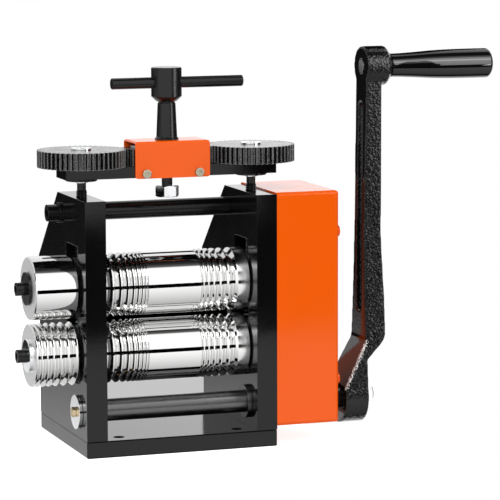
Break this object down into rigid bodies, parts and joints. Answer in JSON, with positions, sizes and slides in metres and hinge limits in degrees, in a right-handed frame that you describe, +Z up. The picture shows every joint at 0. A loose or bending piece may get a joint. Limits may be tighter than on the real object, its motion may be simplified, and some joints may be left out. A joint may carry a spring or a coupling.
{
  "type": "jewellers rolling mill",
  "caption": "Hand cranked rolling mill: grooved rolls in a black bench frame, side rollers, geared roll adjuster with T-handle and a boxed reduction drive.",
  "frame": {"origin": "centre of the base plate's underside, where the mill stands on the bench", "axes": "+X along the rolls towards the crank, +Y towards the back of the mill, +Z up"},
  "size_m": [0.354, 0.125, 0.2829],
  "materials": {
    "black_paint": "glossy black paint on steel plate",
    "black_steel": "blackened steel, satin",
    "black_gear": "blackened steel gear teeth, satin",
    "black_casting": "glossy black paint on a rough casting",
    "block_steel": "dark machined steel",
    "turned_steel": "turned steel",
    "spring_steel": "spring wire",
    "polished_roll": "hardened steel, ground and mirror polished",
    "zinc": "bright zinc plated fasteners",
    "yellow_zinc": "yellow passivated zinc",
    "bronze": "oiled bronze bush",
    "orange_paint": "orange powder coat on sheet steel",
    "grip_plastic": "glossy black moulded grip"
  },
  "bodies": {
    "frame": {"base_plate": "black_paint", "base_screws": "black_steel", "left_side_plate": "black_paint", "right_side_plate": "black_paint", "tie_bar": "black_steel", "tie_bar_screws": "black_steel", "tie_bar_washers": "black_steel", "lower_bearing_blocks": "block_steel", "lower_roll_bushes": "bronze", "shaft_bushes": "bronze", "gear_cover": "orange_paint", "cover_pillars": "turned_steel", "cover_screws": "black_steel"},
    "crank": {"drive_shaft": "black_steel", "shaft_collar": "black_steel", "drive_pinion": "turned_steel", "shaft_sleeve": "turned_steel", "shaft_end_washer": "zinc", "shaft_end_bolt": "yellow_zinc", "crank_arm": "black_casting", "crank_washer": "zinc", "crank_nut": "zinc", "grip_spindle": "turned_steel"},
    "grip": {"crank_grip": "grip_plastic"},
    "lower_roll_set": {"lower_roll": "polished_roll", "lower_side_roller": "polished_roll", "lower_side_washer": "zinc", "lower_side_bolt": "black_steel", "driven_gear": "turned_steel", "lower_coupling_gear": "turned_steel", "lower_gear_spacers": "turned_steel", "lower_roll_keys": "turned_steel", "lower_circlip": "black_steel"},
    "upper_carriage": {"upper_bearing_blocks": "block_steel", "upper_roll_bushes": "bronze", "block_springs": "spring_steel"},
    "upper_roll_set": {"upper_roll": "polished_roll", "upper_side_roller": "polished_roll", "upper_side_washer": "black_steel", "upper_side_bolt": "black_steel", "upper_coupling_gear": "turned_steel", "upper_gear_sleeve": "turned_steel", "upper_roll_keys": "turned_steel", "upper_circlip": "black_steel"},
    "bridge": {"bridge_bar": "black_paint", "gear_bracket": "orange_paint", "bracket_screws": "zinc", "idler_pins": "turned_steel"},
    "handle": {"handle_stem": "black_steel", "handle_pinion": "black_gear", "handle_nut": "zinc"},
    "tommy": {"tommy_bar": "black_steel"},
    "left_idler": {"left_idler_gear": "black_gear"},
    "right_idler": {"right_idler_gear": "black_gear"},
    "left_screw_set": {"left_screw": "black_steel", "left_adjusting_gear": "black_gear", "left_screw_rings": "zinc"},
    "right_screw_set": {"right_screw": "black_steel", "right_adjusting_gear": "black_gear", "right_screw_rings": "zinc"}
  },
  "joints": [
    {"name": "crank_turn", "type": "hinge", "parent": "frame", "child": "crank", "pos_m": [0, -0.0405, 0.03013], "axis": [1, 0, 0], "continuous": true},
    {"name": "grip_spin", "type": "hinge", "parent": "crank", "child": "grip", "pos_m": [0.164, -0.0405, 0.26863], "axis": [1, 0, 0], "continuous": true},
    {"name": "lower_roll_turn", "type": "hinge", "parent": "frame", "child": "lower_roll_set", "pos_m": [0, -0.028, 0.07], "axis": [1, 0, 0], "continuous": true},
    {"name": "carriage_slide", "type": "slide", "parent": "frame", "child": "upper_carriage", "axis": [0, 0, 1], "range_m": [-0.0024, 0.0042], "deforming": ["block_springs"]},
    {"name": "upper_roll_turn", "type": "hinge", "parent": "upper_carriage", "child": "upper_roll_set", "pos_m": [0, -0.028, 0.1176], "axis": [1, 0, 0], "continuous": true},
    {"name": "bridge_slide", "type": "slide", "parent": "frame", "child": "bridge", "axis": [0, 0, 1], "range_m": [-0.0024, 0.0042]},
    {"name": "adjust_turn", "type": "hinge", "parent": "bridge", "child": "handle", "pos_m": [0, -0.028, 0.2], "axis": [0, 0, 1], "range_deg": [-1516, 2653]},
    {"name": "tommy_slide", "type": "slide", "parent": "handle", "child": "tommy", "axis": [1, 0, 0], "range_m": [-0.032, 0.016]},
    {"name": "left_idler_turn", "type": "hinge", "parent": "bridge", "child": "left_idler", "pos_m": [-0.0222, -0.028, 0.2], "axis": [0, 0, 1], "range_deg": [-2801, 1601]},
    {"name": "right_idler_turn", "type": "hinge", "parent": "bridge", "child": "right_idler", "pos_m": [0.0222, -0.028, 0.2], "axis": [0, 0, 1], "range_deg": [-2801, 1601]},
    {"name": "left_screw_turn", "type": "hinge", "parent": "bridge", "child": "left_screw_set", "pos_m": [-0.063, -0.028, 0.2], "axis": [0, 0, 1], "range_deg": [-577, 1009]},
    {"name": "right_screw_turn", "type": "hinge", "parent": "bridge", "child": "right_screw_set", "pos_m": [0.063, -0.028, 0.2], "axis": [0, 0, 1], "range_deg": [-577, 1009]}
  ],
  "couplings": [
    {"joint": "lower_roll_turn", "follows": "crank_turn", "ratio": -0.375},
    {"joint": "upper_roll_turn", "follows": "crank_turn", "ratio": 0.375},
    {"joint": "carriage_slide", "follows": "bridge_slide", "ratio": 1},
    {"joint": "adjust_turn", "follows": "bridge_slide", "rad_per_m": 11023},
    {"joint": "left_idler_turn", "follows": "bridge_slide", "rad_per_m": -11636},
    {"joint": "right_idler_turn", "follows": "bridge_slide", "rad_per_m": -11636},
    {"joint": "left_screw_turn", "follows": "bridge_slide", "rad_per_m": 4188.8},
    {"joint": "right_screw_turn", "follows": "bridge_slide", "rad_per_m": 4188.8}
  ]
}
